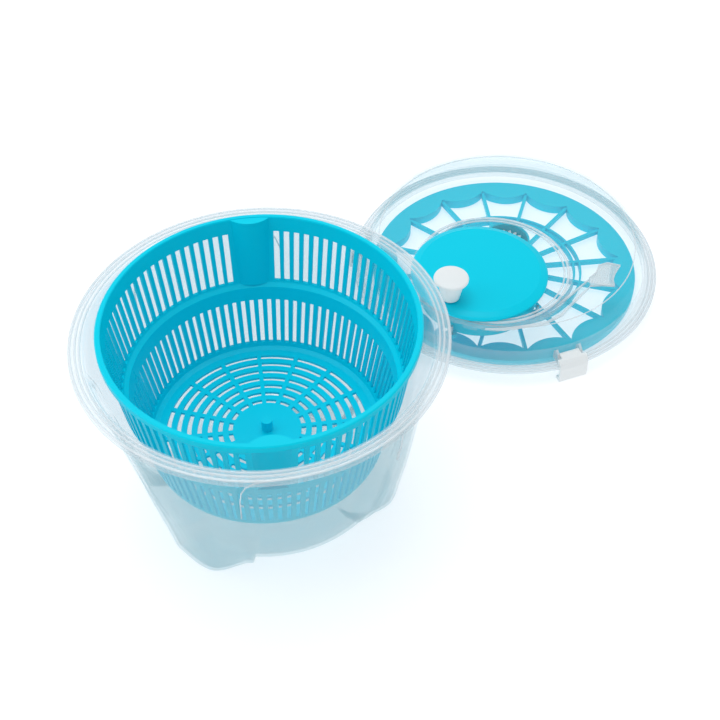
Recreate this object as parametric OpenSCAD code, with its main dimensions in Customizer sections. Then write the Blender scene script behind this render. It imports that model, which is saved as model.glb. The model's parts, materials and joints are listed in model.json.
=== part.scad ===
// Hand-cranked salad spinner, shown opened: the bowl with its basket stands
// upright and the lid lies beside it.
// Millimetres. Z = 0 is the table. The origin is the middle of the footprint.

/* [Layout] */
// Distance from the bowl's axis to the lid's axis, along X
lid_dx = 186.6; // [184:1:260]
// Distance from the bowl's axis to the lid's axis, along Y
lid_dy = 205.9; // [205:1:300]

/* [Bowl] */
// Radius of the bowl's rim
rim_r = 121; // [120:0.5:122]
// Height of the bowl
bowl_h = 149; // [148:0.5:150]
// Wall thickness of the clear mouldings
wall = 2; // [1.6:0.2:2.2]
// Height of the bowl's floor above the table
floor_z = 9; // [8:0.5:10]
// Middle angle of the bowl's front gap between two feet
foot_turn = -66.5; // [-180:0.5:180]
// Angle from that middle out to each foot's middle
foot_spread = 51; // [45:1:55]

/* [Basket] */
// Outer radius of the basket's rim
basket_r = 103; // [102:0.5:104]
// Height of the basket's rim above the table
basket_top = 158; // [157:0.5:159]
// Angle of the basket's finger recesses
basket_turn = 94.6; // [-180:0.1:180]
// Slots in each tier of the basket's wall
slot_n = 88; // [60:4:96]
// Width of an upper slot
slot_up_w = 4; // [2.4:0.1:4.4]
// Width of a lower slot
slot_low_w = 2.9; // [2.4:0.1:3.4]
// Spokes across the basket's floor
floor_spokes = 16; // [8:4:24]

/* [Lid] */
// Radius of the lid's flange
lid_r = 121.5; // [121:0.5:123]
// Height of the lid's flat top above the table
lid_top = 40; // [39.5:0.5:40.5]
// Angle of the crank's axis round the lid
crank_turn = -119.2; // [-180:0.5:180]
// Angle of the front clip round the lid
clip_turn = -71; // [-180:1:180]
// Angle from the front clip on to the rear clip
clip_gap = 240; // [120:1:240]

/* [Drive] */
// Teeth on the crank's gear
gear_teeth = 54; // [48:6:54]
// Teeth on the pinion
pinion_teeth = 18; // [16:2:18]
// Gear module
gear_m = 1.5; // [1.4:0.05:1.5]
// Radius of the crank disc
disc_r = 52.3; // [50:0.1:54]
// Outer radius of the drive wheel
wheel_r = 105.3; // [104.5:0.1:106]
// Spokes of the drive wheel
wheel_spokes = 16; // [12:2:20]
// How far the drive wheel can rise on its shaft
wheel_rise = 13; // [10:0.5:13]

/* [Hidden] */
$fn = 96;
eps = 0.01;

clear_c = [0.86, 0.92, 0.95, 0.45];
blue_c = [0.02, 0.72, 0.85];
white_c = [0.95, 0.95, 0.95];
steel_c = [0.7, 0.72, 0.74];

// The two groups stand so that their common footprint is centred.
bowl_at = [-(lid_dx + lid_r - rim_r) / 2, -(lid_dy + lid_r - rim_r) / 2, 0];
lid_at = bowl_at + [lid_dx, lid_dy, 0];

// ---------- shared helpers ----------
module wedge(a1, a2, r, h) {
  am = (a1 + a2) / 2;
  rc = r / cos((a2 - a1) / 4);
  linear_extrude(h)
    polygon([[0, 0],
      [r * cos(a1), r * sin(a1)],
      [rc * cos((a1 + am) / 2), rc * sin((a1 + am) / 2)],
      [rc * cos((a2 + am) / 2), rc * sin((a2 + am) / 2)],
      [r * cos(a2), r * sin(a2)]]);
}

module ring(r, w, z, h) {
  translate([0, 0, z])
    difference() {
      cylinder(h = h, r = r + w / 2);
      translate([0, 0, -1]) cylinder(h = h + 2, r = r - w / 2);
    }
}

function arc_pts(cx, cz, r, a1, a2, n) =
  [for (i = [0:n]) let(a = a1 + (a2 - a1) * i / n) [cx + r * cos(a), cz + r * sin(a)]];

function lerp(a, b, t) = a + (b - a) * t;

// ---------- bowl ----------
foot_half = 20;
mouth_r = rim_r - 8.2;
flange_z = bowl_h - 0.5;
waist_z = 65;
waist_r = mouth_r - 17.5;
heel_at = 58;
heel_round = 30;
foot_in_r = 60;
lip_h = 4.5;
cone_top = 41;
cone_r = 8;
cone_base_r = 15;
pin_r = 2.5;

module bowl_body(inset) {
  rotate_extrude()
    polygon(concat(
      [[0, floor_z + inset]],
      arc_pts(heel_at, floor_z + heel_round, heel_round - inset, -90, -10, 6),
      [[waist_r - inset, waist_z], [mouth_r - inset, flange_z - 2 + inset], [0, flange_z - 2 + inset]]));
}

module lobes(inset) {
  for (a = [-foot_spread, foot_spread, 180 - foot_spread, 180 + foot_spread])
    rotate([0, 0, foot_turn + a])
      intersection() {
        rotate_extrude()
          polygon([[foot_in_r + inset, inset], [81 - inset, inset], [85.6 - inset, 1.6 + inset],
            [88.4 - inset, 6], [91.7 - inset, 17], [96.4 - inset, 41], [101.3 - inset, 70],
            [104.7 - inset, 95], [mouth_r - inset, flange_z - 4], [foot_in_r + inset, flange_z - 4]]);
        wedge(-foot_half + inset * 0.75, foot_half - inset * 0.75, 160, bowl_h);
      }
}

module bowl() {
  color(clear_c) translate(bowl_at) {
    difference() {
      union() {
        bowl_body(0);
        lobes(0);
      }
      bowl_body(wall);
      lobes(wall);
      translate([0, 0, floor_z - 1]) cylinder(h = wall + 2, r = cone_base_r);
    }
    ring(46, 1.2, floor_z + wall - eps, 0.7);
    rotate_extrude()
      polygon([[mouth_r - wall, flange_z - 2], [mouth_r - wall + 1, flange_z], [rim_r - 1, flange_z],
        [rim_r, flange_z - 1], [rim_r, flange_z - lip_h], [rim_r - 1.8, flange_z - lip_h],
        [rim_r - 1.8, flange_z - 2]]);
    ring(rim_r - 7.4, 1, flange_z - eps, 0.5 + eps);
    ring(rim_r - 4.4, 1, flange_z - eps, 0.5 + eps);
  }
}

// The cone in the middle of the bowl's floor, hollow from below.
module pivot_cone() {
  color(clear_c) translate(bowl_at)
    difference() {
      union() {
        translate([0, 0, floor_z]) cylinder(h = wall, r = cone_base_r);
        translate([0, 0, floor_z + wall])
          cylinder(h = cone_top - floor_z - wall, r1 = cone_base_r, r2 = cone_r);
      }
      translate([0, 0, floor_z - 1])
        cylinder(h = cone_top - floor_z - 11, r1 = cone_base_r - wall, r2 = cone_r);
      translate([0, 0, pin_z]) cylinder(h = 11, r = pin_r);
    }
}

pin_z = cone_top - 10;
pin_top = 52.3;
module pivot_pin() {
  color(steel_c) translate(bowl_at) {
    translate([0, 0, pin_z]) cylinder(h = pin_top - pin_z - 1, r = pin_r);
    translate([0, 0, pin_top - 1]) cylinder(h = 1, r1 = pin_r, r2 = pin_r - 1);
  }
}

run = 0.05;
bush_r = 4.4;
bush_z = cone_top + 0.6;
module pivot_bush() {
  color(white_c) translate(bowl_at)
    difference() {
      union() {
        translate([0, 0, bush_z]) cylinder(h = 10.5, r = bush_r);
        translate([0, 0, bush_z]) cylinder(h = 1.4, r = 6.6);
      }
      translate([0, 0, bush_z - 1]) cylinder(h = 20, r = pin_r + run);
    }
}

// ---------- basket ----------
skin = 1.8;
base_z = 53;
base_r = 80.5;
ledge_z = 105;
low_top_r = 89.5;
up_low_r = 92.8;
up_mid_r = 99.3;
up_top_r = 101.1;
up_mid_z = 148;
rim_z = basket_top - 4.5;
hub_z = bush_z + 1.6;
dip_at = 111.9;
dip_z = 106;
dip_low_r = 21.9;
dip_top_r = 16.8;
slot_pitch = 360 / slot_n;
low_slot_z = [58.5, 94];
up_slot_z = [107.5, 147.3];
ring_n = 7;
ring_r0 = 24.9;
ring_pitch = 7;
ring_w = 3;
spoke_w = 3;

module basket_outside() {
  rotate_extrude()
    polygon([[0, base_z], [base_r - 5, base_z], [base_r - 1, base_z + 1.2], [base_r, base_z + 5],
      [low_top_r, ledge_z - 1], [up_low_r, ledge_z + 1], [up_mid_r, up_mid_z],
      [up_top_r, basket_top - 0.4], [0, basket_top - 0.4]]);
}

module basket_inside() {
  rotate_extrude()
    polygon([[0, base_z + 2], [base_r - skin - 5, base_z + 2], [base_r - skin - 1.4, base_z + 3],
      [base_r - skin, base_z + 6.5], [low_top_r - skin, ledge_z - 1], [up_low_r - skin - 0.5, ledge_z + 1],
      [up_low_r - skin, ledge_z + 2], [up_mid_r - skin, up_mid_z], [up_top_r - skin, basket_top],
      [up_top_r - skin, basket_top + 1], [0, basket_top + 1]]);
}

module rim_bead() {
  rotate_extrude()
    polygon([[up_mid_r + 0.4, rim_z - 1.2], [basket_r - 1.2, rim_z - 1.2], [basket_r, rim_z],
      [basket_r, basket_top - 0.8], [basket_r - 0.8, basket_top], [up_mid_r + 0.4, basket_top]]);
}

// The finger recesses: upright scoops, wider at the foot, from the rim down to the ledge.
module dips(grow, top) {
  share = (top - dip_z) / (basket_top - dip_z);
  for (i = [0, 1])
    rotate([0, 0, i * 180]) translate([dip_at, 0, dip_z])
      cylinder(h = top - dip_z, r1 = dip_low_r + grow, r2 = lerp(dip_low_r, dip_top_r, share) + grow);
}

module slots(zs, w, r1, r2, skip) {
  for (i = [0:slot_n - 1])
    if (i % (slot_n / 2) >= skip && i % (slot_n / 2) < slot_n / 2 - skip)
      rotate([0, 0, (i + 0.5) * slot_pitch])
        translate([r1, -w / 2, zs[0]]) cube([r2 - r1, w, zs[1] - zs[0]]);
}

module floor_slots() {
  translate([0, 0, base_z - 1]) linear_extrude(5)
    difference() {
      for (k = [0:ring_n - 1])
        difference() {
          circle(r = ring_r0 + k * ring_pitch + ring_w / 2);
          circle(r = ring_r0 + k * ring_pitch - ring_w / 2);
        }
      for (k = [0:floor_spokes / 2 - 1])
        rotate(k * 360 / floor_spokes + spoke_off)
          translate([-base_r, -spoke_w / 2]) square([2 * base_r, spoke_w]);
    }
}
spoke_off = 0.95;

module basket() {
  color(blue_c) translate(bowl_at) rotate([0, 0, basket_turn]) {
    difference() {
      union() {
        difference() {
          basket_outside();
          dips(0, basket_top - 2.4);
        }
        rim_bead();
      }
      difference() {
        basket_inside();
        dips(skin, basket_top + 2);
      }
      slots(low_slot_z, slot_low_w, 70, 96, 0);
      slots(up_slot_z, slot_up_w, 84, 106, 2);
      floor_slots();
    }
    translate([0, 0, base_z + 1]) cylinder(h = 10, r = 3.8);
  }
}

module basket_hub() {
  color(blue_c) translate(bowl_at)
    difference() {
      translate([0, 0, hub_z]) cylinder(h = base_z - hub_z, r = 9);
      translate([0, 0, hub_z - 1]) cylinder(h = base_z - hub_z + 2, r = bush_r + run);
    }
}

// ---------- lid ----------
flange_top = 13;
flange_t = 3;
dome_r = 112;
shoulder_r = 10;
dome_flat_r = 99.5;
plat_at = [-16, -41];
plat_r = 60.1;
plat_h = 4;
plat_z = lid_top + plat_h;
ecc = gear_m * (gear_teeth + pinion_teeth) / 2;
crank_at = [ecc * cos(crank_turn), ecc * sin(crank_turn)];
crank_hub_r = 10;
gear_z = 27.2;
gear_t = 6;
collar_z = gear_z + gear_t + 1;
cover_z = 23;
cover_t = 1.2;
gear_room = gear_m * gear_teeth / 2 + 3.4;
pinion_room = gear_m * pinion_teeth / 2 + 3.4;
pad_at = gear_room + 5.3;
function off_crank(a) = crank_at + pad_at * [cos(crank_turn + a), sin(crank_turn + a)];
screw_spots = [off_crank(0), off_crank(90), off_crank(-90)];
journal_r = 4;
pinion_neck_r = 6;
hinge_x = 114.3;
hinge_z = 17;
clip_w = 23;
knuckle_w = 16;
ear_t = 2;
clip_pin_r = 1.25;

module on_lid() {
  translate(lid_at) children();
}

module lid_revolve() {
  top_c = lid_top - shoulder_r;
  rotate_extrude()
    polygon(concat(
      [[0, lid_top]],
      arc_pts(dome_flat_r, top_c, shoulder_r, 90, 0, 5),
      [[dome_r, flange_top], [lid_r - 1.5, flange_top], [lid_r, flange_top - 1.2],
        [lid_r, flange_top - flange_t], [dome_r - wall, flange_top - flange_t]],
      arc_pts(dome_flat_r, top_c, shoulder_r - wall, 0, 90, 5),
      [[0, lid_top - wall]]));
}

module clip_side(turn) {
  rotate([0, 0, clip_turn + turn]) children();
}

// Extrudes an (x, z) outline to a width centred on the radial plane.
module across(w) {
  translate([0, w / 2, 0]) rotate([90, 0, 0]) linear_extrude(w) children();
}

module ears() {
  for (s = [-1, 1])
    translate([0, s * (knuckle_w / 2 + 0.3 + ear_t / 2), 0])
      difference() {
        across(ear_t)
          polygon([[108.6, flange_top - 1], [116.8, flange_top - 1], [hinge_x + 2.9, hinge_z],
            [hinge_x + 0.3, hinge_z + 3], [111.4, 22.3], [109.2, 19.5]]);
        translate([hinge_x, 5, hinge_z]) rotate([90, 0, 0]) cylinder(h = 10, r = clip_pin_r);
      }
}

// A raised line that leaves the platform's edge and ends in a forked tail.
module turn_mark() {
  translate([0, 0, lid_top - 0.3]) linear_extrude(1.1) {
    polygon([[58, -53], [60.5, -46], [74, -33], [84, -36], [78, -47.5], [76.5, -62], [66, -58]]);
    polygon([[33, -75], [36, -77.5], [60.5, -51.5], [59, -49]]);
  }
}

module lid_shell() {
  color(clear_c) on_lid() {
    difference() {
      union() {
        lid_revolve();
        translate([plat_at[0], plat_at[1], lid_top - 1])
          cylinder(h = plat_h + 1, r1 = plat_r + 2.4, r2 = plat_r - 0.6);
        turn_mark();
        translate([crank_at[0], crank_at[1], collar_z])
          cylinder(h = plat_z - collar_z, r = crank_hub_r + 3);
        translate([0, 0, gear_z + gear_t + 1])
          cylinder(h = lid_top - gear_z - gear_t - 1.5, r = journal_r + 2.5);
        for (p = screw_spots)
          translate([p[0], p[1], cover_z + cover_t])
            cylinder(h = lid_top - wall / 2 - cover_z - cover_t, r = 3.4);
      }
      difference() {
        translate([plat_at[0], plat_at[1], lid_top - wall - 1])
          cylinder(h = plat_h + 1, r1 = plat_r, r2 = plat_r - 2.6);
        translate([crank_at[0], crank_at[1], 0]) cylinder(h = 60, r = crank_hub_r + 3);
        translate([0, 0, 0]) cylinder(h = 60, r = journal_r + 2.5);
        for (p = screw_spots) translate([p[0], p[1], 0]) cylinder(h = 60, r = 3.4);
        difference() {
          cylinder(h = 60, r = 130);
          translate([0, 0, -1]) cylinder(h = 62, r = dome_flat_r);
        }
      }
      translate([crank_at[0], crank_at[1], collar_z - 1])
        cylinder(h = 30, r = crank_hub_r + run);
      translate([0, 0, gear_z]) cylinder(h = lid_top - 2 - gear_z, r = journal_r + run);
      for (p = screw_spots)
        translate([p[0], p[1], cover_z]) cylinder(h = 12, r = 1.25);
    }
    ring(dome_r + 2.6, 1, flange_top - eps, 0.6);
    ring(dome_r + 5.2, 1, flange_top - eps, 0.6);
    translate([plat_at[0], plat_at[1], 0]) ring(plat_r - 2, 1.4, plat_z - eps, 0.6);
    clip_side(0) ears();
    clip_side(clip_gap) ears();
  }
}

module cover_outline(grow) {
  translate(crank_at) circle(r = gear_room + grow);
  circle(r = pinion_room + grow);
}

module gear_cover() {
  color(blue_c) on_lid()
    difference() {
      union() {
        translate([0, 0, cover_z]) linear_extrude(cover_t) cover_outline(1.5);
        translate([0, 0, cover_z])
          linear_extrude(lid_top - wall - 0.3 - cover_z)
            difference() {
              cover_outline(1.5);
              cover_outline(0);
            }
        for (p = screw_spots)
          translate([p[0], p[1], cover_z]) cylinder(h = cover_t, r = 4.4);
      }
      translate([0, 0, cover_z - 1]) cylinder(h = 4, r = pinion_neck_r + run);
      for (p = screw_spots)
        translate([p[0], p[1], cover_z - 1]) cylinder(h = 5, r = 1.6);
    }
}

module cover_screws() {
  color(steel_c) on_lid()
    for (p = screw_spots) translate([p[0], p[1], 0]) {
      translate([0, 0, cover_z - 1.4]) cylinder(h = 1.4, r1 = 2, r2 = 2.8);
      translate([0, 0, cover_z - eps]) cylinder(h = 9, r = 1.2);
    }
}

// ---------- crank ----------
disc_z = plat_z + 1;
disc_edge = 1.6;
disc_crown = 5;
bevel_w = 6;
spigot_r = 6;
knob_arm = 39.9;
knob_turn = -129.2;
knob_at = crank_at + [knob_arm * cos(knob_turn), knob_arm * sin(knob_turn)];

module crank_disc() {
  color(blue_c) on_lid() {
    translate([crank_at[0], crank_at[1], 0])
      difference() {
        union() {
          rotate_extrude()
            polygon([[0, disc_z + 3], [crank_hub_r, disc_z + 3], [disc_r - bevel_w, disc_z + 3],
              [disc_r - 1.6, disc_z], [disc_r, disc_z], [disc_r, disc_z + disc_edge],
              [disc_r - 1.5, disc_z + disc_edge + 1], [disc_r - bevel_w, disc_z + disc_crown - 0.6],
              [20, disc_z + disc_crown], [0, disc_z + disc_crown]]);
          translate([0, 0, gear_z + gear_t + 0.1])
            cylinder(h = disc_z + 3.5 - gear_z - gear_t - 0.1, r = crank_hub_r);
          translate([0, 0, gear_z]) cylinder(h = gear_t + 1, r = spigot_r);
          rotate([0, 0, knob_turn]) translate([knob_arm, 0, disc_z + 0.2])
            cylinder(h = disc_crown - 0.4, r = 6.5);
        }
        translate([0, 0, gear_z - 1]) cylinder(h = 14, r = 1.6);
        rotate([0, 0, knob_turn]) translate([knob_arm, 0, disc_z - 1])
          cylinder(h = 10, r = 2.5);
      }
  }
}

// Involute outline: flank points are computed from the base circle.
pressure = 20;
backlash = 0.12;
function inv_pt(rb, r) =
  let(t = sqrt(max(0, r * r / (rb * rb) - 1))) t * 180 / PI - atan(t);
module spur_gear(n, turn, h) {
  rp = gear_m * n / 2;
  rb = rp * cos(pressure);
  ra = rp + 0.85 * gear_m;
  rf = rp - 1.15 * gear_m;
  half = 90 / n - backlash / (2 * rp) * 180 / PI + inv_pt(rb, rp);
  rs = max(rb, rf);
  steps = 4;
  radii = [for (i = [0:steps]) rs + (ra - rs) * i / steps];
  tooth = concat(
    [[rf, -half]],
    [for (r = radii) [r, -half + inv_pt(rb, r)]],
    [for (i = [steps:-1:0]) [radii[i], half - inv_pt(rb, radii[i])]],
    [[rf, half]]);
  rotate([0, 0, turn]) linear_extrude(h)
    polygon([for (k = [0:n - 1]) for (p = tooth)
      let(a = p[1] + k * 360 / n) [p[0] * cos(a), p[0] * sin(a)]]);
}

module crank_gear() {
  color(white_c) on_lid() translate([crank_at[0], crank_at[1], gear_z])
    difference() {
      union() {
        difference() {
          spur_gear(gear_teeth, crank_turn + 180, gear_t);
          translate([0, 0, -1]) cylinder(h = gear_t + 2, r = gear_m * gear_teeth / 2 - 5);
        }
        cylinder(h = 2, r = gear_m * gear_teeth / 2 - 4);
        cylinder(h = gear_t, r = crank_hub_r + 0.2);
      }
      translate([0, 0, -1]) cylinder(h = gear_t + 2, r = spigot_r);
    }
}

module crank_washer() {
  color(steel_c) on_lid() translate([crank_at[0], crank_at[1], gear_z - 1])
    difference() {
      cylinder(h = 1, r = 9);
      translate([0, 0, -1]) cylinder(h = 3, r = 1.7);
    }
}

module crank_screw() {
  color(steel_c) on_lid() translate([crank_at[0], crank_at[1], gear_z - 1]) {
    translate([0, 0, -1.6]) cylinder(h = 1.6, r1 = 2.6, r2 = 3.4);
    translate([0, 0, -eps]) cylinder(h = 11, r = 1.6);
  }
}

knob_z = disc_z + disc_crown + 0.5;
knob_h = 17.2;
cap_h = 4.3;
module knob_pin() {
  color(steel_c) on_lid() translate([knob_at[0], knob_at[1], 0]) {
    translate([0, 0, disc_z + 0.2]) cylinder(h = knob_z + 15 - disc_z - 0.2, r = 2.5);
    translate([0, 0, knob_z + 15]) cylinder(h = 1.2, r = 4);
  }
}

module knob_grip() {
  color(white_c) on_lid() translate([knob_at[0], knob_at[1], knob_z])
    difference() {
      rotate_extrude()
        polygon([[0, 0], [6.2, 0], [7, 0.8], [10.2, knob_h], [0, knob_h]]);
      translate([0, 0, -1]) cylinder(h = knob_h + 2, r = 2.5 + run);
      translate([0, 0, 14.6]) cylinder(h = 6, r = 5);
    }
}

module knob_cap() {
  color(white_c) on_lid() translate([knob_at[0], knob_at[1], knob_z + knob_h])
    rotate_extrude()
      polygon(concat([[0, 0], [12.2, 0]],
        arc_pts(11.5, 1.7, 1.6, -50, 70, 4),
        [[7.5, cap_h - 0.4], [0, cap_h]]));
}

// ---------- drive shaft and wheel ----------
hex_r = 4;
shaft_end = 2.4;
hub_r = 11;
hub_h = 5;
band_z = 6;
band_top = 8;
cusp_r = 94.3;
bulge_r = 27.5;
bulge_at = 113.3;
spoke_top = 6.5;
wheel_turn = 4.7;
rib = 1.6;

module pinion() {
  color(white_c) on_lid()
    difference() {
      union() {
        translate([0, 0, gear_z - 0.5]) spur_gear(pinion_teeth, crank_turn + 180 / pinion_teeth, gear_t + 1);
        translate([0, 0, gear_z + gear_t]) cylinder(h = lid_top - 2.5 - gear_z - gear_t, r = journal_r);
        translate([0, 0, cover_z - 0.2]) cylinder(h = gear_z - cover_z, r = pinion_neck_r);
      }
      translate([0, 0, 0]) cylinder(h = 32, r = hex_r, $fn = 6);
    }
}

module drive_shaft() {
  color(steel_c) on_lid()
    difference() {
      translate([0, 0, shaft_end]) cylinder(h = 32 - shaft_end, r = hex_r, $fn = 6);
      translate([0, 0, shaft_end - 1]) cylinder(h = 10, r = 1.5);
    }
}

module shaft_washer() {
  color(steel_c) on_lid() translate([0, 0, shaft_end - 0.8])
    difference() {
      cylinder(h = 0.8, r = 7);
      translate([0, 0, -1]) cylinder(h = 3, r = 1.6);
    }
}

module shaft_screw() {
  color(steel_c) on_lid() {
    translate([0, 0, shaft_end - 1.8]) cylinder(h = 1, r1 = 2.8, r2 = 3.2);
    translate([0, 0, shaft_end - 0.8 - eps]) cylinder(h = 8, r = 1.5);
  }
}

module scallops(grow) {
  for (k = [0:wheel_spokes - 1])
    rotate([0, 0, (k + 0.5) * 360 / wheel_spokes]) translate([bulge_at, 0]) circle(r = bulge_r + grow);
}

module drive_wheel() {
  color(blue_c) on_lid() rotate([0, 0, wheel_turn]) {
    translate([0, 0, band_z]) linear_extrude(band_top - band_z)
      intersection() {
        circle(r = wheel_r);
        scallops(0);
      }
    translate([0, 0, 0.5]) linear_extrude(band_top - 0.5)
      intersection() {
        circle(r = wheel_r - 6);
        difference() {
          scallops(0);
          scallops(-rib);
        }
      }
    ring(wheel_r - rib / 2, rib, 2.5, band_top - 2.5);
    ring(62, rib, 2.5, 4.5);
    ring(57, rib, 2.5, 4.5);
    difference() {
      union() {
        translate([0, 0, shaft_end + 0.2]) cylinder(h = hub_h, r = hub_r);
        for (k = [0:wheel_spokes / 2 - 1])
          rotate([0, 0, k * 360 / wheel_spokes])
            translate([-cusp_r - 0.5, -1.3, 2.7]) cube([2 * cusp_r + 1, 2.6, spoke_top - 2.7]);
      }
      translate([0, 0, 0]) cylinder(h = 20, r = hex_r + 0.2, $fn = 6);
    }
  }
}

// ---------- clips ----------
module clip() {
  difference() {
    union() {
      translate([hinge_x, knuckle_w / 2, hinge_z]) rotate([90, 0, 0]) cylinder(h = knuckle_w, r = 2.5);
      across(knuckle_w)
        polygon([[hinge_x, hinge_z + 1], [hinge_x + 0.5, hinge_z + 2.4], [118.6, 18.8], [118.6, 16.6],
          [hinge_x + 2, hinge_z - 0.5]]);
      across(clip_w)
        polygon([[118.5, 18.8], [120.6, 18.5], [122.8, 16.6], [124, 12.5], [124.3, 4], [124, 0],
          [118.8, 0], [118.8, 2.6], [119.8, 3.2], [122.3, 3.2], [122.3, 9], [122.1, 12],
          [121, 14.7], [118.5, 16.4]]);
    }
    translate([hinge_x, 20, hinge_z]) rotate([90, 0, 0]) cylinder(h = 40, r = clip_pin_r + run);
  }
}

module clip_pin() {
  w = knuckle_w + 2 * (0.3 + ear_t);
  translate([hinge_x, w / 2, hinge_z]) rotate([90, 0, 0]) cylinder(h = w, r = clip_pin_r);
}

module clip_front() {
  color(white_c) on_lid() clip_side(0) clip();
}

module clip_pin_front() {
  color(steel_c) on_lid() clip_side(0) clip_pin();
}

module clip_rear() {
  color(white_c) on_lid() clip_side(clip_gap) clip();
}

module clip_pin_rear() {
  color(steel_c) on_lid() clip_side(clip_gap) clip_pin();
}

bowl();
pivot_cone();
pivot_pin();
pivot_bush();
basket();
basket_hub();
lid_shell();
gear_cover();
cover_screws();
crank_disc();
crank_gear();
crank_washer();
crank_screw();
knob_pin();
knob_grip();
knob_cap();
pinion();
drive_shaft();
shaft_washer();
shaft_screw();
drive_wheel();
clip_front();
clip_pin_front();
clip_rear();
clip_pin_rear();
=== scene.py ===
"""Looks of an opened salad spinner: clear footed bowl with its basket, and the lid lying beside it."""

import json
import math

import bmesh
import bpy
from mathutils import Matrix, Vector


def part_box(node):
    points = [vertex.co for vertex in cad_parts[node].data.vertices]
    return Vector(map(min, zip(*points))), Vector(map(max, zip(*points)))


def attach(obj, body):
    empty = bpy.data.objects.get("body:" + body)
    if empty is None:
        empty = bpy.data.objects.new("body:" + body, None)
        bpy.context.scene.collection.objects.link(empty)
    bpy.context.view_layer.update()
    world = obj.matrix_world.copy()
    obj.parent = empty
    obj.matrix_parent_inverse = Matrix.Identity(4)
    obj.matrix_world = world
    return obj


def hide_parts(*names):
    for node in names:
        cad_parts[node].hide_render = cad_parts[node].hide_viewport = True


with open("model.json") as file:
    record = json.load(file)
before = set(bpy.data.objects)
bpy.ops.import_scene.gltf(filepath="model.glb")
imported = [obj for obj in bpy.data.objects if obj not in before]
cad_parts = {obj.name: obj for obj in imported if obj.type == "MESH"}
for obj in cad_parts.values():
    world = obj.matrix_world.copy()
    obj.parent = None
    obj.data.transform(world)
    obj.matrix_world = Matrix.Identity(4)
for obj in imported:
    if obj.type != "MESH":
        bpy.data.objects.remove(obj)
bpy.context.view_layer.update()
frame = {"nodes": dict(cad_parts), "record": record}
nodes = frame["nodes"]

MM = 0.001


def centre_of(node):
    """Middle of a CAD node's box, in plan."""
    low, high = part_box(node)
    return Vector(((low.x + high.x) / 2, (low.y + high.y) / 2, 0))


BOWL_AT = centre_of("pivot_pin")
LID_AT = centre_of("drive_shaft")


# ---------- materials ----------
def plastic(name, color, roughness, bump=0.02, scale=60.0, **sockets):
    """A moulded plastic: one Principled node, its roughness and bump varied by noise."""
    mat = bpy.data.materials.new(name)
    mat.use_nodes = True
    tree = mat.node_tree
    shader = tree.nodes["Principled BSDF"]
    shader.inputs["Base Color"].default_value = (*color, 1)
    for socket, value in sockets.items():
        shader.inputs[socket.replace("_", " ")].default_value = value
    coords = tree.nodes.new("ShaderNodeTexCoord")
    grain = tree.nodes.new("ShaderNodeTexNoise")
    grain.inputs["Scale"].default_value = scale
    grain.inputs["Detail"].default_value = 3
    tree.links.new(coords.outputs["Object"], grain.inputs["Vector"])
    spread = tree.nodes.new("ShaderNodeMapRange")
    spread.inputs["To Min"].default_value = roughness * 0.8
    spread.inputs["To Max"].default_value = roughness * 1.2
    tree.links.new(grain.outputs["Fac"], spread.inputs["Value"])
    tree.links.new(spread.outputs["Result"], shader.inputs["Roughness"])
    if bump:
        relief = tree.nodes.new("ShaderNodeBump")
        relief.inputs["Strength"].default_value = bump
        relief.inputs["Distance"].default_value = 0.001
        tree.links.new(grain.outputs["Fac"], relief.inputs["Height"])
        tree.links.new(relief.outputs["Normal"], shader.inputs["Normal"])
    return mat


CLEAR = plastic("clear_bowl", (0.26, 0.56, 0.63), 0.10, Alpha=0.26, IOR=2.2)
CLEAR_LID = plastic("clear_lid", (0.28, 0.68, 0.78), 0.07, Alpha=0.11, IOR=2.4)
FROST = plastic("frosted_lid", (0.72, 0.84, 0.88), 0.3, bump=1.0, scale=380.0, Alpha=0.45, IOR=2.6)
# Painted highlight: a near-white clear plastic. It makes the beads, lines, ridges, grain and ears on the
# bowl and lid look like bright glints.
PAINTED_HIGHLIGHT = plastic("painted_highlight_clear", (0.92, 0.96, 0.98), 0.1, Alpha=0.46, IOR=1.8)
# Painted light: a lighter copy of the clear plastic. It goes on faces that should look lit: the bowl's rim
# and wall top, the lid's flange and the platform's sloping side.
PAINTED_LIT_CLEAR = plastic("clear_painted_lit", (0.70, 0.80, 0.84), 0.15, Alpha=0.28, IOR=1.9)
BLUE = plastic("blue_plastic", (0.0, 0.65, 0.83), 0.3, Specular_IOR_Level=0.12)
WHITE = plastic("white_plastic", (0.88, 0.90, 0.89), 0.35)
STEEL = plastic("steel", (0.6, 0.61, 0.63), 0.3, Metallic=1.0)

LOOKS = {
    "clear_bowl": CLEAR,
    "clear_lid": CLEAR_LID,
    "blue_plastic": BLUE,
    "white_plastic": WHITE,
    "steel": STEEL,
}

for row in frame["record"]["subparts"]:
    obj = nodes[row["node"]]
    obj.data.materials.clear()
    obj.data.materials.append(LOOKS[row["material_slot"]])


# ---------- mesh helpers ----------
def smoothstep(low, high, x):
    """0 below low, 1 above high, and a smooth rise between them."""
    t = min(max((x - low) / (high - low), 0.0), 1.0)
    return t * t * (3 - 2 * t)


def mix(a, b, t):
    """The value a share t of the way from a to b."""
    return a + (b - a) * t


def refine(points, step):
    """Adds points along a polyline so that no stretch is longer than step."""
    fine = [points[0]]
    for a, b in zip(points, points[1:]):
        count = max(1, math.ceil(math.dist(a, b) / step))
        fine += [tuple(mix(p, q, i / count) for p, q in zip(a, b)) for i in range(1, count + 1)]
    return fine


def arc(cx, cz, radius, start, end, count):
    """Points on an arc in the (r, z) plane, angles in degrees."""
    turns = [math.radians(mix(start, end, i / count)) for i in range(count + 1)]
    return [(cx + radius * math.cos(t), cz + radius * math.sin(t)) for t in turns]


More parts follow.
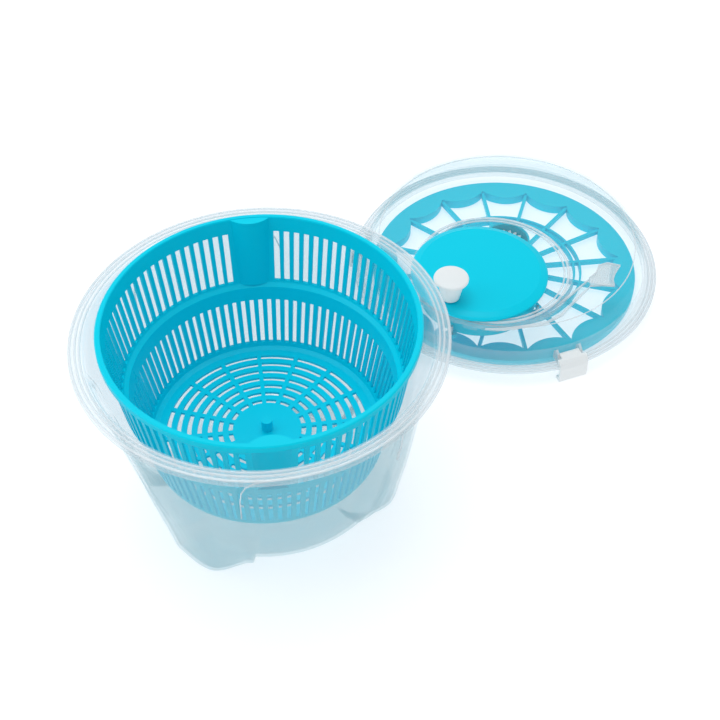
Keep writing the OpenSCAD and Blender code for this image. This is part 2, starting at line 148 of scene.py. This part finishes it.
def turned(name, section, count, at):
    """A closed skin: section(azimuth) gives (r, z) points in mm from the axis round to the axis again."""
    mesh = bmesh.new()
    columns = []
    for i in range(count):
        azimuth = 360 * i / count
        c, s = math.cos(math.radians(azimuth)), math.sin(math.radians(azimuth))
        columns.append([(r * c, r * s, z) for r, z in section(azimuth)])
    rows = len(columns[0])
    ends = [mesh.verts.new(Vector(columns[0][k]) * MM + at) for k in (0, rows - 1)]
    rings = [[mesh.verts.new(Vector(p) * MM + at) for p in column[1:-1]] for column in columns]
    for i in range(count):
        here, there = rings[i], rings[(i + 1) % count]
        mesh.faces.new((ends[0], there[0], here[0]))
        for k in range(rows - 3):
            mesh.faces.new((here[k], there[k], there[k + 1], here[k + 1]))
        mesh.faces.new((here[-1], there[-1], ends[1]))
    bmesh.ops.recalc_face_normals(mesh, faces=mesh.faces)
    return finish_mesh(name, mesh)


def finish_mesh(name, mesh):
    """Links a mesh as a smooth-shaded object."""
    data = bpy.data.meshes.new(name)
    mesh.to_mesh(data)
    mesh.free()
    for face in data.polygons:
        face.use_smooth = True
    obj = bpy.data.objects.new(name, data)
    bpy.context.scene.collection.objects.link(obj)
    return obj


def flat_shaded(obj):
    """Turns smooth shading off again, for pieces with flat faces."""
    for face in obj.data.polygons:
        face.use_smooth = False
    return obj


def piece(obj, material, body, slot, *replaced):
    """Gives a mesh its plastic and its moving body, and hides the CAD nodes it stands in for; the slot it is
    given is not used.
    """
    obj.data.materials.append(material)
    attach(obj, body)
    if replaced:
        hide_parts(*replaced)
    return obj


# How many columns of faces go round each clear skin.
SKIN_COLUMNS = 480

# ---------- bowl ----------
# Each foot's middle azimuth, and the side on which it is drawn in furthest.
FEET = ((-117.5, 1), (-15.5, -1), (62.5, 1), (164.5, -1))
FOOT_HALF = 20.0
FOOT_SLANT = 6.0
FOOT_SOFT = 1.3
FOOT_TAPER = 18.0
PANEL_TOP = 138
CORNER = 15.0
CORNER_WIDENS = 8.0
SKIN = 2.0
RIM_R = 121.0
RIM_TOP = 148.5
MOUTH_R = 112.8
FLOOR_Z = 9.0
# Painted light: above this height and beyond this radius, the bowl's rim and the top of its wall get the
# lighter clear plastic.
LIT_FROM = 138.0
LIT_R = 108.0


def foot_turn(azimuth):
    """Signed degrees from the nearest foot's middle, positive towards the side that is drawn in."""
    turns = [((azimuth - middle + 180) % 360 - 180) * side for middle, side in FEET]
    return min(turns, key=abs)


def foot_share(azimuth, z):
    """1 on a foot's lobe, 0 on the recessed panel beside it."""
    turn = foot_turn(azimuth)
    lift = min(max((z - PANEL_TOP + CORNER) / CORNER, 0), 1)
    round_off = CORNER_WIDENS * (1 - math.sqrt(1 - lift * lift))
    low_edge = -FOOT_HALF - FOOT_SLANT * min(max(z / PANEL_TOP, 0), 1) - round_off
    high_edge = FOOT_HALF + round_off
    inside = smoothstep(low_edge - FOOT_SOFT, low_edge + FOOT_SOFT, turn)
    return inside * (1 - smoothstep(high_edge - FOOT_SOFT, high_edge + FOOT_SOFT, turn))


def wall_paths():
    """Matching outer wall outlines, rim to floor: the panel, then a foot's middle and its two sides."""
    top = [(MOUTH_R, 146.5), (MOUTH_R - 0.2, 141.5)]
    panel = top + [(111.7, 139.4), (109.9, 137.2), (102.0, 95.0), (95.3, 65.0), (91.0, 47.0)]
    panel += arc(58, FLOOR_Z + 30, 30, -8, -89, 9)
    panel += [(57.5, FLOOR_Z), (56.0, FLOOR_Z), (55.0, FLOOR_Z)]
    shoulder = top + [(112.5, 139.4), (112.3, 137.2)]
    sole = [(61.0, 1.2), (60.0, 4.0), (58.0, FLOOR_Z)]
    full = shoulder + [(104.6, 95.0), (100.6, 66.0), (97.4, 46.0), (94.3, 30.0), (92.0, 18.0)]
    full += [(90.8, 11.0), (89.8, 7.5), (88.8, 4.4), (87.4, 2.2), (85.8, 0.7), (83.6, 0.0)]
    full += [(71.0, 0.0), (63.0, 0.0)] + sole
    drawn = shoulder + [(103.6, 95.0), (98.2, 66.0), (94.2, 46.0), (89.6, 30.0), (84.6, 18.0)]
    drawn += [(80.4, 11.0), (78.0, 7.5), (76.0, 4.4), (74.4, 2.2), (72.8, 0.7), (71.0, 0.0)]
    drawn += [(67.0, 0.0), (62.5, 0.0)] + sole
    eased = shoulder + [(103.2, 95.0), (98.4, 66.0), (94.4, 46.0), (91.0, 30.0), (88.6, 18.0)]
    eased += [(87.4, 11.0), (86.6, 7.5), (86.0, 4.4), (85.2, 2.2), (84.0, 0.7), (82.2, 0.0)]
    eased += [(69.0, 0.0), (62.8, 0.0)] + sole
    return panel, full, drawn, eased


def inset(path, by):
    """Moves a polyline sideways by a wall's thickness, towards the bowl's inside."""
    moved = []
    for i, p in enumerate(path):
        a, b = path[max(i - 1, 0)], path[min(i + 1, len(path) - 1)]
        dr, dz = b[0] - a[0], b[1] - a[1]
        size = math.hypot(dr, dz)
        moved.append((p[0] + dz / size * by, p[1] - dr / size * by))
    return moved


PATHS = wall_paths()
INNER_PATHS = [inset(path, SKIN) for path in PATHS]
KEYS = len(PATHS[0])
# The stretches of the outlines that bend round the panels' corners, and how finely each kind is cut.
FINE_KEYS = (2, 3, 4, 5, 6)
FINE_PIECES, PLAIN_PIECES = 8, 2


def blend(a, b, t):
    """A point between two (r, z) points."""
    return (mix(a[0], b[0], t), mix(a[1], b[1], t))


def wall(azimuth, paths):
    """The wall's outline at one azimuth, blended between panel and foot."""
    panel, full, drawn, eased = paths
    turn = foot_turn(azimuth)
    side = drawn if turn > 0 else eased
    pull = smoothstep(0, FOOT_TAPER, abs(turn))
    foot = [blend(a, b, pull) for a, b in zip(full, side)]
    points = []
    for i in range(KEYS - 1):
        pieces = FINE_PIECES if i in FINE_KEYS else PLAIN_PIECES
        for k in range(pieces):
            f = blend(foot[i], foot[i + 1], k / pieces)
            points.append(blend(blend(panel[i], panel[i + 1], k / pieces), f, foot_share(azimuth, f[1])))
    points.append(blend(panel[-1], foot[-1], foot_share(azimuth, 0)))
    return points


def paint_lit_faces(skin, chosen):
    """Gives the chosen faces of a clear skin a lighter copy of the clear plastic, as painted light."""
    skin.data.materials.append(PAINTED_LIT_CLEAR)
    for face in skin.data.polygons:
        if chosen(face.center):
            face.material_index = 1


def ridges(r, z, height, width):
    """A small rounded ridge on a level surface, as (r, z) points from outside in."""
    return [(r + width * (0.5 - i / 6), z + height * math.sin(math.pi * i / 6)) for i in range(7)]


CONE_INSIDE = [(0, 30.0), (6.0, 30.0), (13.0, 9.6), (14.2, FLOOR_Z)]
CONE_OUTSIDE = [(15.6, 11.0), (9.2, 38.0), (8.6, 40.4), (7.8, 41.0)]
PIN_SOCKET = [(2.7, 41.0), (2.6, 40.6), (2.6, 31.0), (0, 31.0)]


def bowl_section(azimuth):
    """The bowl's closed skin at one azimuth, from the axis under the floor, over the rim and back inside."""
    under = refine(CONE_INSIDE + [(46, FLOOR_Z), (54, FLOOR_Z)], 12)
    outside = wall(azimuth, PATHS)[::-1]
    lip = [(MOUTH_R + 0.6, 146.7), (118.8, 146.7), (119.3, 146.2), (119.5, 144.4), (120.0, 144.0)]
    lip += [(120.7, 144.1), (RIM_R, 144.8), (RIM_R, 147.0)]
    top = arc(RIM_R - 1.5, RIM_TOP - 1.5, 1.5, 0, 85, 4) + [(118.6, RIM_TOP), (115.0, RIM_TOP)]
    top += arc(MOUTH_R - 0.2, RIM_TOP - 1.8, 1.8, 90, 175, 4)
    inside = wall(azimuth, INNER_PATHS)[1:]
    ribs = ridges(53.0, 11.0, 0.7, 1.4) + ridges(46.0, 11.0, 0.7, 1.4)
    return under + outside[1:] + lip + top + inside + ribs + [(30, 11.0)] + CONE_OUTSIDE + PIN_SOCKET


def ring_of(name, at, outline, count=64):
    """A closed ring turned from (r, z) points in mm about an upright axis at a place in metres."""
    mesh = bmesh.new()
    rings = []
    for i in range(count):
        t = math.tau * i / count
        spots = [Vector((r * math.cos(t), r * math.sin(t), z)) for r, z in outline]
        rings.append([mesh.verts.new(spot * MM + at) for spot in spots])
    size = len(outline)
    for i in range(count):
        here, there = rings[i], rings[(i + 1) % count]
        for k in range(size):
            n = (k + 1) % size
            mesh.faces.new((here[k], there[k], there[n], here[n]))
    bmesh.ops.recalc_face_normals(mesh, faces=mesh.faces)
    return finish_mesh(name, mesh)


def bead(r, z, width, height):
    """The outline of a low rounded bead that sits on a surface."""
    half = width / 2
    return [(r - half, z - 0.3), (r + half, z - 0.3), (r + half, z), (r + half * 0.6, z + height * 0.8),
            (r, z + height), (r - half * 0.6, z + height * 0.8), (r - half, z)]


def lit_bowl_faces(at):
    """True on the bowl's rim and on the top of its wall, which get painted light."""
    return at.z > LIT_FROM * MM and (at - BOWL_AT).xy.length > LIT_R * MM


bowl_skin = turned("bowl_skin", bowl_section, SKIN_COLUMNS, BOWL_AT)
piece(bowl_skin, CLEAR, "bowl", "clear_bowl", "bowl", "pivot_cone")
# Paints light on the rim and the top of the wall.
paint_lit_faces(bowl_skin, lit_bowl_faces)

# The rim's lines, drawn in the painted-highlight plastic: each bead's radius, width and height.
RIM_BEADS = {
    "outer": (119.6, 1.8, 0.55),
    "middle": (116.2, 1.4, 0.6),
    "inner": (113.4, 1.4, 0.6),
}
for label, (r, width, height) in RIM_BEADS.items():
    line = ring_of(f"rim_{label}", BOWL_AT, bead(r, RIM_TOP - 0.15, width, height), 240)
    piece(line, PAINTED_HIGHLIGHT, "bowl", "clear_bowl")

# The raised line round the top of each wide panel, as (azimuth, z); its near-white plastic is a painted
# highlight.
PANEL_LINE = [(-97.2, 92), (-96.8, 112), (-96.0, 122), (-94.2, 130)]
PANEL_LINE += [(-91.0, 135.5), (-86.0, 138), (-76.0, 138.8)]
LINE_MIDDLE = -66.5
LINE_WIDTH = 1.1
# The wall's radius at the line's foot, and the height over which it widens to the mouth.
LINE_FROM, LINE_R = 92, 104.4
LINE_RISE = 50
# What one degree round the wall is worth in mm.
MM_A_DEGREE = 1.9
# The line's section: how far each corner stands off the wall, and which side of the path it is on.
LINE_SECTION = ((-0.8, -1), (0.6, 0), (-0.8, 1))


def panel_line(name, turn):
    """A thin bead along the panel's edge, mirrored about the panel's middle."""
    path = PANEL_LINE + [(2 * LINE_MIDDLE - a, z) for a, z in reversed(PANEL_LINE)]
    mesh = bmesh.new()
    rows = []
    for i, (azimuth, z) in enumerate(path):
        before, after = path[max(i - 1, 0)], path[min(i + 1, len(path) - 1)]
        across = Vector((before[1] - after[1], (after[0] - before[0]) * MM_A_DEGREE))
        across = across.normalized() * LINE_WIDTH / 2
        wall_r = mix(LINE_R, MOUTH_R - 0.4, (z - LINE_FROM) / LINE_RISE)
        row = []
        for out, side in LINE_SECTION:
            t = math.radians(azimuth + turn + side * across.x / MM_A_DEGREE)
            r = wall_r + out
            spot = Vector((r * math.cos(t), r * math.sin(t), z + side * across.y))
            row.append(mesh.verts.new(spot * MM + BOWL_AT))
        rows.append(row)
    for here, there in zip(rows, rows[1:]):
        for k in range(3):
            n = (k + 1) % 3
            mesh.faces.new((here[k], there[k], there[n], here[n]))
    mesh.faces.new(rows[0])
    mesh.faces.new(rows[-1])
    bmesh.ops.recalc_face_normals(mesh, faces=mesh.faces)
    return finish_mesh(name, mesh)


for label, turn in (("front", 0), ("back", 180)):
    piece(panel_line(f"panel_line_{label}", turn), PAINTED_HIGHLIGHT, "bowl", "clear_bowl")

# ---------- lid ----------
LID_TOP = 40.0
FLANGE_TOP = 13.0
SHOULDER = 10.0
SHOULDER_AT = 99.5
PLATFORM_AT = (-16.0, -41.0)
PLATFORM_R = 61.0
PLATFORM_SLOPE = 1.4
PLATFORM_TOP = 44.0
CRESCENT_FROM, CRESCENT_TO = 40, 132


def centre_in_lid(node):
    """A CAD node's axis in mm from the lid's axis."""
    return (centre_of(node) - LID_AT) / MM


CRANK = centre_in_lid("crank_disc")


def platform_share(x, y):
    """1 on the gear platform, 0 off it, with its sloping side between."""
    gap = math.hypot(x - PLATFORM_AT[0], y - PLATFORM_AT[1])
    return 1 - smoothstep(PLATFORM_R - PLATFORM_SLOPE, PLATFORM_R + PLATFORM_SLOPE, gap)


def crescent(azimuth, r):
    """The raised land on the far side of the dome."""
    ends = smoothstep(CRESCENT_FROM, CRESCENT_FROM + 3, azimuth)
    ends *= 1 - smoothstep(CRESCENT_TO - 3, CRESCENT_TO, azimuth)
    middle = (CRESCENT_FROM + CRESCENT_TO) / 2
    bow = 1 - ((azimuth - middle) / (CRESCENT_TO - middle)) ** 2
    edge = 103.5 - 5.0 * max(bow, 0)
    return 1.3 * ends * smoothstep(edge - 0.8, edge + 0.8, r)


def dome_outline(skin):
    """The dome from its axis to its foot, as (r, z), at a depth below its outer face."""
    radius = SHOULDER - skin
    shoulder = arc(SHOULDER_AT, LID_TOP - SHOULDER, radius, 90, 4, 12)
    top = [(r, LID_TOP - skin) for r in (1.2 * i for i in range(1, int(SHOULDER_AT / 1.2) + 1))]
    return top + shoulder[0 if top[-1][0] < SHOULDER_AT - 0.3 else 1:]


def raised(azimuth, point, skin):
    """A point of the dome's outline, lifted where the platform or the crescent is."""
    r, z = point
    x, y = r * math.cos(math.radians(azimuth)), r * math.sin(math.radians(azimuth))
    share = platform_share(x, y)
    if r < SHOULDER_AT + SHOULDER - 1.5:
        z = mix(z, PLATFORM_TOP - skin, share)
    z += crescent(azimuth, r) * smoothstep(FLANGE_TOP + 12, LID_TOP - 6, z)
    return r, z


def lid_section(azimuth):
    """The lid's closed skin at one azimuth, over the dome and the flange and back under."""
    azimuth = (azimuth + 180) % 360 - 180
    outer = [raised(azimuth, p, 0) for p in dome_outline(0)]
    foot = [(110.5, 24.0), (111.6, 16.0)] + arc(113.2, 14.6, 1.6, 180, 265, 3)
    flange = [(114.4, FLANGE_TOP), (117.0, FLANGE_TOP), (119.8, FLANGE_TOP)]
    edge = arc(120.5, FLANGE_TOP - 1.0, 1.0, 85, 0, 3) + [(121.5, 10.6), (121.1, 10.1), (112.0, 10.0)]
    edge += [(110.4, 10.4), (109.6, 16.0), (108.5, 24.0)]
    inner = [raised(azimuth, p, SKIN) for p in dome_outline(SKIN)][::-1]
    return [(0, LID_TOP)] + outer + foot + flange + edge + inner + [(0, LID_TOP - SKIN)]


lid_skin = turned("lid_skin", lid_section, SKIN_COLUMNS, LID_AT)


def cut(obj, cutter):
    """Takes cutter's shape out of obj and deletes cutter."""
    step = obj.modifiers.new("cut", "BOOLEAN")
    step.operation = "DIFFERENCE"
    step.solver = "EXACT"
    step.object = cutter
    with bpy.context.temp_override(object=obj, active_object=obj, selected_objects=[obj]):
        bpy.ops.object.modifier_apply(modifier=step.name)
    bpy.data.objects.remove(cutter)


HOLE = [(0.001, 20), (10.3, 20), (10.3, 60), (0.001, 60)]
hole = ring_of("hole", LID_AT + CRANK * MM, HOLE)
cut(lid_skin, hole)
piece(lid_skin, CLEAR_LID, "lid", "clear_lid", "lid_shell")
PLATFORM_HERE = LID_AT + Vector((*PLATFORM_AT, 0)) * MM
# Painted highlight: two areas get the lighter clear plastic. One is the lid's flange beyond this radius. The
# other is a narrow band round the platform's sloping side above this height.
FLANGE_FROM = 111
PLATFORM_FROM = 38.5
LIT_BAND = 1.5


def lit_lid_faces(at):
    """True on the lid's flange and on the sloping side of the gear platform, which get a painted highlight.
    """
    beside = abs((at - PLATFORM_HERE).xy.length - PLATFORM_R * MM) < LIT_BAND * MM
    return (at - LID_AT).xy.length > FLANGE_FROM * MM or (beside and at.z > PLATFORM_FROM * MM)


# Paints highlights on the flange and the platform's sloping side.
paint_lit_faces(lid_skin, lit_lid_faces)
COLLAR = [(10.05, 34.2), (13, 34.2), (13, 44.2), (10.05, 44.2)]
collar = ring_of("lid_collar", LID_AT + CRANK * MM, COLLAR)
piece(collar, CLEAR_LID, "lid", "clear_lid")

# The lid's lines, drawn in the painted-highlight plastic: each bead's middle in plan, radius, height above
# the table, width and height.
LID_BEADS = {
    "edge": (0, 0, 120.6, FLANGE_TOP - 0.2, 1.4, 0.4),
    "flange_a": (0, 0, 118.0, FLANGE_TOP - 0.2, 1.8, 0.7),
    "flange_b": (0, 0, 115.2, FLANGE_TOP - 0.2, 1.4, 0.7),
    "shoulder": (0, 0, 101.0, LID_TOP - 0.15, 0.9, 0.3),
    "platform_a": (*PLATFORM_AT, 58.6, PLATFORM_TOP - 0.2, 2.2, 1.0),
    "platform_b": (*PLATFORM_AT, 55.6, PLATFORM_TOP - 0.2, 1.6, 0.8),
}
for label, (x, y, r, z, width, height) in LID_BEADS.items():
    line = ring_of(f"lid_{label}", LID_AT + Vector((x, y, 0)) * MM, bead(r, z, width, height), 200)
    piece(line, PAINTED_HIGHLIGHT, "lid", "clear_lid")


def slab(name, outline, low, high, draft=0.0):
    """A closed plate over an outline given in mm from the lid's axis, its top drawn in by draft."""
    mesh = bmesh.new()
    middle = sum((Vector(p) for p in outline), Vector((0, 0))) / len(outline)
    foot, top = [], []
    for p in outline:
        flat = Vector(p)
        inner = flat + (middle - flat).normalized() * draft
        foot.append(mesh.verts.new(Vector((flat.x, flat.y, low)) * MM + LID_AT))
        top.append(mesh.verts.new(Vector((inner.x, inner.y, high)) * MM + LID_AT))
    mesh.faces.new(foot)
    mesh.faces.new(top)
    for i in range(len(outline)):
        n = (i + 1) % len(outline)
        mesh.faces.new((foot[i], foot[n], top[n], top[i]))
    bmesh.ops.recalc_face_normals(mesh, faces=mesh.faces)
    return flat_shaded(finish_mesh(name, mesh))


# How wide a band still is at its two ends.
BAND_END = 0.25


def band(path, width):
    """Outline of a narrow strip along a path, pointed at both ends."""
    left, right = [], []
    for i, p in enumerate(path):
        a, b = path[max(i - 1, 0)], path[min(i + 1, len(path) - 1)]
        along = (Vector(b) - Vector(a)).normalized()
        share = BAND_END if i in (0, len(path) - 1) else 1
        side = Vector((-along.y, along.x)) * width * 0.5 * share
        left.append(Vector(p) + side)
        right.append(Vector(p) - side)
    return left + right[::-1]


def off_platform(radius, azimuth):
    """A point at a radius and azimuth from the platform's middle."""
    turn = math.radians(azimuth)
    return (PLATFORM_AT[0] + radius * math.cos(turn), PLATFORM_AT[1] + radius * math.sin(turn))


# The mark that shows which way to turn: a swirl off the platform's edge and a grained arrow head.
SWIRL_EDGE = [off_platform(62.8, a) for a in (-100, -88, -75)]
SWIRL_OUTWARD = ((64.8, -66), (67.0, -57), (68.4, -46), (68.0, -37), (70.5, -25))
SWIRL_EDGE += [off_platform(r, a) for r, a in SWIRL_OUTWARD]
SWIRL_EDGE += [(57.1, -61.0)]
SWIRL_INNER = [(57.9, -51.5), (44.0, -64.0)] + [off_platform(61.5, a) for a in (-40, -55, -75, -95)]
ARROW = [(57.9, -51.1), (64.1, -45.7), (67.5, -37.5), (74.5, -34.8), (84.0, -38.1), (79.0, -46.0)]
ARROW += [(76.0, -53.5), (76.0, -60.5), (66.6, -59.2), (57.3, -60.0)]
swirl = slab("turn_swirl", SWIRL_EDGE + SWIRL_INNER, LID_TOP - 0.4, LID_TOP + 0.9, 0.3)
piece(swirl, CLEAR_LID, "lid", "clear_lid")
arrow = slab("turn_arrow", ARROW, LID_TOP - 0.4, LID_TOP + 1.4, 0.5)
piece(arrow, FROST, "lid", "clear_lid")
SWIRL_VEIN = [(57.6, -53.0), (44.0, -66.5), (33.0, -77.0), (28.0, -81.5)]
# The ridges along the swirl, its vein and the arrow head are painted highlights in the near-white plastic.
for i, (path, width) in enumerate(((SWIRL_EDGE, 1.7), (SWIRL_VEIN, 1.7), (ARROW, 0.9))):
    ridge = slab(f"turn_ridge_{i}", band(path, width), LID_TOP - 0.1, LID_TOP + 1.6, 0.0)
    piece(ridge, PAINTED_HIGHLIGHT, "lid", "clear_lid")


def inside(point, outline):
    """Whether a point lies within a closed outline."""
    hits = 0
    for a, b in zip(outline, outline[1:] + outline[:1]):
        if (a[1] > point[1]) != (b[1] > point[1]):
            across = a[0] + (point[1] - a[1]) / (b[1] - a[1]) * (b[0] - a[0])
            hits += across > point[0]
    return hits % 2 == 1


# The arrow's grain: small pyramids on a spiral about its middle, kept where they fall inside it. They are
# drawn in the painted-highlight plastic that makes them glint.
GRAIN_AT = Vector((69.5, -50.5))
GRAIN_R, GRAIN_H, GRAIN_STEP = 0.85, 0.8, 1.15
GRAIN_COUNT = 260
GRAIN_CORNERS = (0, 2.09, 4.19)
GOLDEN_TURN = 2.39996


def towards(turn):
    """The plan direction at a turn in radians."""
    return Vector((math.cos(turn), math.sin(turn)))


grains = bmesh.new()
for i in range(1, GRAIN_COUNT):
    spot = GRAIN_AT + towards(GOLDEN_TURN * i) * GRAIN_STEP * math.sqrt(i)
    if inside(spot, ARROW):
        base = [spot + towards(t + i) * GRAIN_R for t in GRAIN_CORNERS]
        foot = [grains.verts.new(Vector((p.x, p.y, LID_TOP + 1.3)) * MM + LID_AT) for p in base]
        tip = grains.verts.new(Vector((spot.x, spot.y, LID_TOP + 1.4 + GRAIN_H)) * MM + LID_AT)
        grains.faces.new(foot[::-1])
        for k in range(3):
            grains.faces.new((foot[k], foot[(k + 1) % 3], tip))
piece(flat_shaded(finish_mesh("turn_grain", grains)), PAINTED_HIGHLIGHT, "lid", "clear_lid")

# The ears that hold each clip's pin: the clips' azimuths, and an ear's outline, thickness and offset.
CLIP_TURNS = {"front": -71, "rear": 169}
EAR = [(108.6, 12.4), (116.8, 12.4), (117.2, 17.0), (114.6, 20.0), (111.4, 22.3), (109.2, 19.5)]
EAR_T = 2.0
EAR_AT = 9.3


def ear(name, turn, side):
    """One ear: its outline stands in the clip's radial plane, EAR_AT to one side."""
    mesh = bmesh.new()
    c, s = math.cos(math.radians(turn)), math.sin(math.radians(turn))
    walls = []
    for y in (side * EAR_AT - EAR_T / 2, side * EAR_AT + EAR_T / 2):
        spots = [Vector((x * c - y * s, x * s + y * c, z)) for x, z in EAR]
        walls.append([mesh.verts.new(spot * MM + LID_AT) for spot in spots])
    for corner_row in walls:
        mesh.faces.new(corner_row)
    for i in range(len(EAR)):
        n = (i + 1) % len(EAR)
        mesh.faces.new((walls[0][i], walls[0][n], walls[1][n], walls[1][i]))
    bmesh.ops.recalc_face_normals(mesh, faces=mesh.faces)
    return flat_shaded(finish_mesh(name, mesh))


# The ears are drawn in the near-white painted-highlight plastic.
for label, turn in CLIP_TURNS.items():
    for side, hand in ((-1, "right"), (1, "left")):
        piece(ear(f"ear_{label}_{hand}", turn, side), PAINTED_HIGHLIGHT, "lid", "clear_lid")

# ---------- floor ----------
FLOOR_SIZE, FLOOR_DROP = 80, 0.0003
bpy.ops.mesh.primitive_plane_add(size=FLOOR_SIZE, location=(0, 0, -FLOOR_DROP))
floor = bpy.context.object
floor.name = "floor"
floor_mat = bpy.data.materials.new("floor")
floor_mat.use_nodes = True
floor_shader = floor_mat.node_tree.nodes["Principled BSDF"]
floor_shader.inputs["Base Color"].default_value = (0.55, 0.56, 0.57, 1)
floor_shader.inputs["Roughness"].default_value = 0.9
floor_shader.inputs["Specular IOR Level"].default_value = 0.0
floor_shader.inputs["Emission Color"].default_value = (0.96, 0.98, 1.0, 1)
floor_shader.inputs["Emission Strength"].default_value = 0.64
floor.data.materials.append(floor_mat)

# ---------- light ----------
world = bpy.data.worlds.new("studio")
world.use_nodes = True
world.node_tree.nodes["Background"].inputs["Color"].default_value = (0.93, 0.96, 1.0, 1)
world.node_tree.nodes["Background"].inputs["Strength"].default_value = 0.64
bpy.context.scene.world = world


def softbox(name, at, aim, size, power):
    """A rectangular lamp at a place, turned to face another."""
    data = bpy.data.lights.new(name, "AREA")
    data.shape = "RECTANGLE"
    data.size, data.size_y = size
    data.energy = power
    lamp = bpy.data.objects.new(name, data)
    bpy.context.scene.collection.objects.link(lamp)
    lamp.location = at
    lamp.rotation_euler = (Vector(aim) - Vector(at)).to_track_quat("-Z", "Y").to_euler()
    return lamp


softbox("top", (-0.2, 0.3, 1.9), (0, 0, 0), (1.4, 1.2), 13)
softbox("left", (-1.5, -0.2, 1.1), (0, 0, 0.05), (1.0, 1.2), 5)

# ---------- camera ----------
CAMERA_OFF_BOWL = (40.37, -621.38, 779.64)
CAMERA_TILT, CAMERA_TURN = 43.32, -2.09
CAMERA_LENS = 70.06
camera_data = bpy.data.cameras.new("camera")
camera_data.sensor_width = 36
camera_data.lens = CAMERA_LENS
camera = bpy.data.objects.new("camera", camera_data)
bpy.context.scene.collection.objects.link(camera)
camera.location = BOWL_AT + Vector(CAMERA_OFF_BOWL) * MM
camera.rotation_euler = (math.radians(CAMERA_TILT), 0, math.radians(CAMERA_TURN))
bpy.context.scene.camera = camera
bpy.context.scene.view_settings.view_transform = "Standard"
